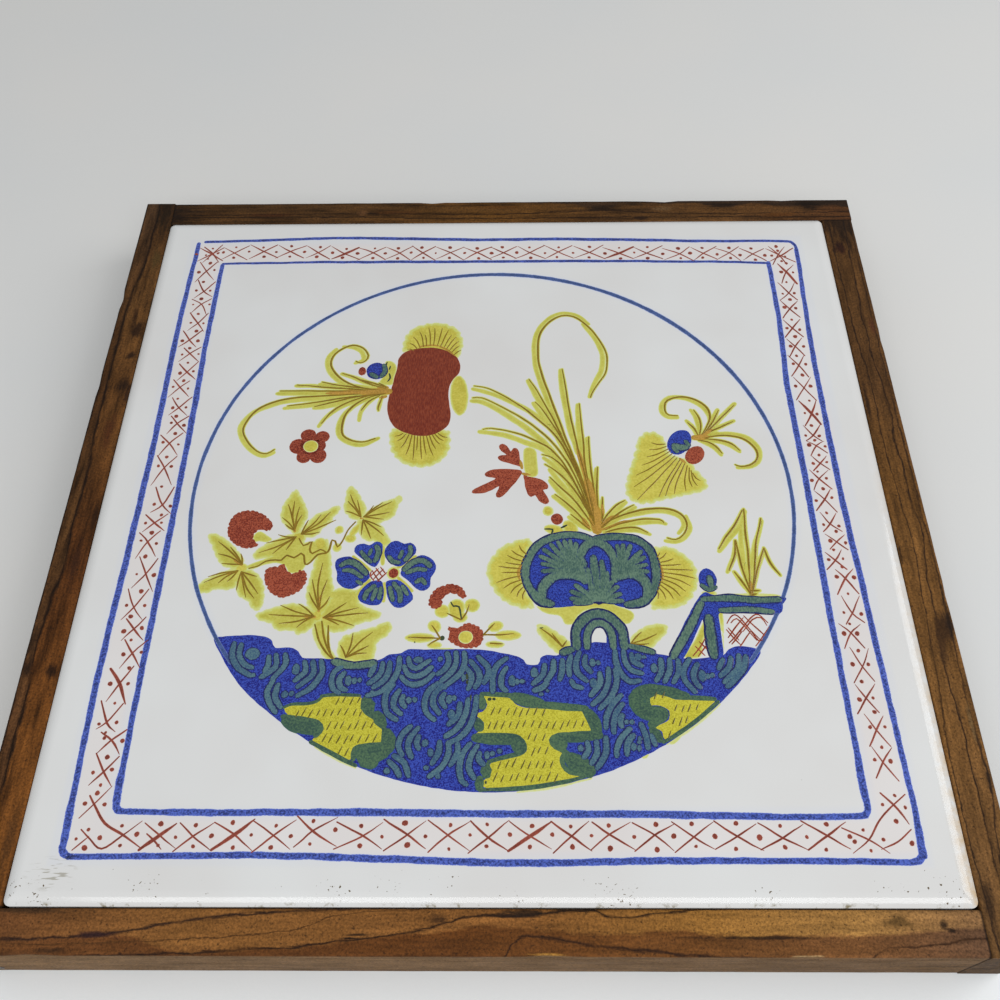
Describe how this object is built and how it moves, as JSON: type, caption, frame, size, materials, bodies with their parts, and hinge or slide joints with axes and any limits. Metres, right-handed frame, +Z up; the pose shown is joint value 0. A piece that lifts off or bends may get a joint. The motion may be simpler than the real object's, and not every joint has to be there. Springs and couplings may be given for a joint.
{
  "type": "tile trivet",
  "caption": "Square trivet: a glazed ceramic tile with a painted garden scene in fired colours, held in a low stained wooden frame with butted corners.",
  "frame": {"origin": "middle of the underside, on the surface that the trivet stands on", "axes": "+X to the picture's right, +Y to the picture's top, +Z up, out of the painted face"},
  "size_m": [0.2188, 0.2188, 0.0212],
  "materials": {
    "glazed_ceramic": null,
    "adhesive": "set tile adhesive, matt",
    "panel_board": "thin brown board, matt",
    "stained_wood": "stained and worn wood, satin",
    "brad_steel": "plain steel brads, dulled",
    "blue_colour": "fired cobalt blue, granular gloss",
    "teal_colour": "fired grey teal, gloss",
    "green_colour": "fired dark green, gloss",
    "red_colour": "fired iron red, granular gloss",
    "yellow_colour": "fired yellow wash, gloss",
    "brown_colour": "fired ochre brown strokes, gloss"
  },
  "bodies": {
    "root": {"tile": "glazed_ceramic", "tile_adhesive": "adhesive", "base_panel": "panel_board", "rail_front": "stained_wood", "rail_right": "stained_wood", "rail_back": "stained_wood", "rail_left": "stained_wood", "corner_brads": "brad_steel", "blue_lines": "blue_colour", "blue_ground": "blue_colour", "blue_blooms": "blue_colour", "teal_strokes": "teal_colour", "green_banks": "green_colour", "red_lattice": "red_colour", "red_blooms": "red_colour", "yellow_islands": "yellow_colour", "yellow_leaves": "yellow_colour", "brown_strokes": "brown_colour"}
  },
  "joints": []
}
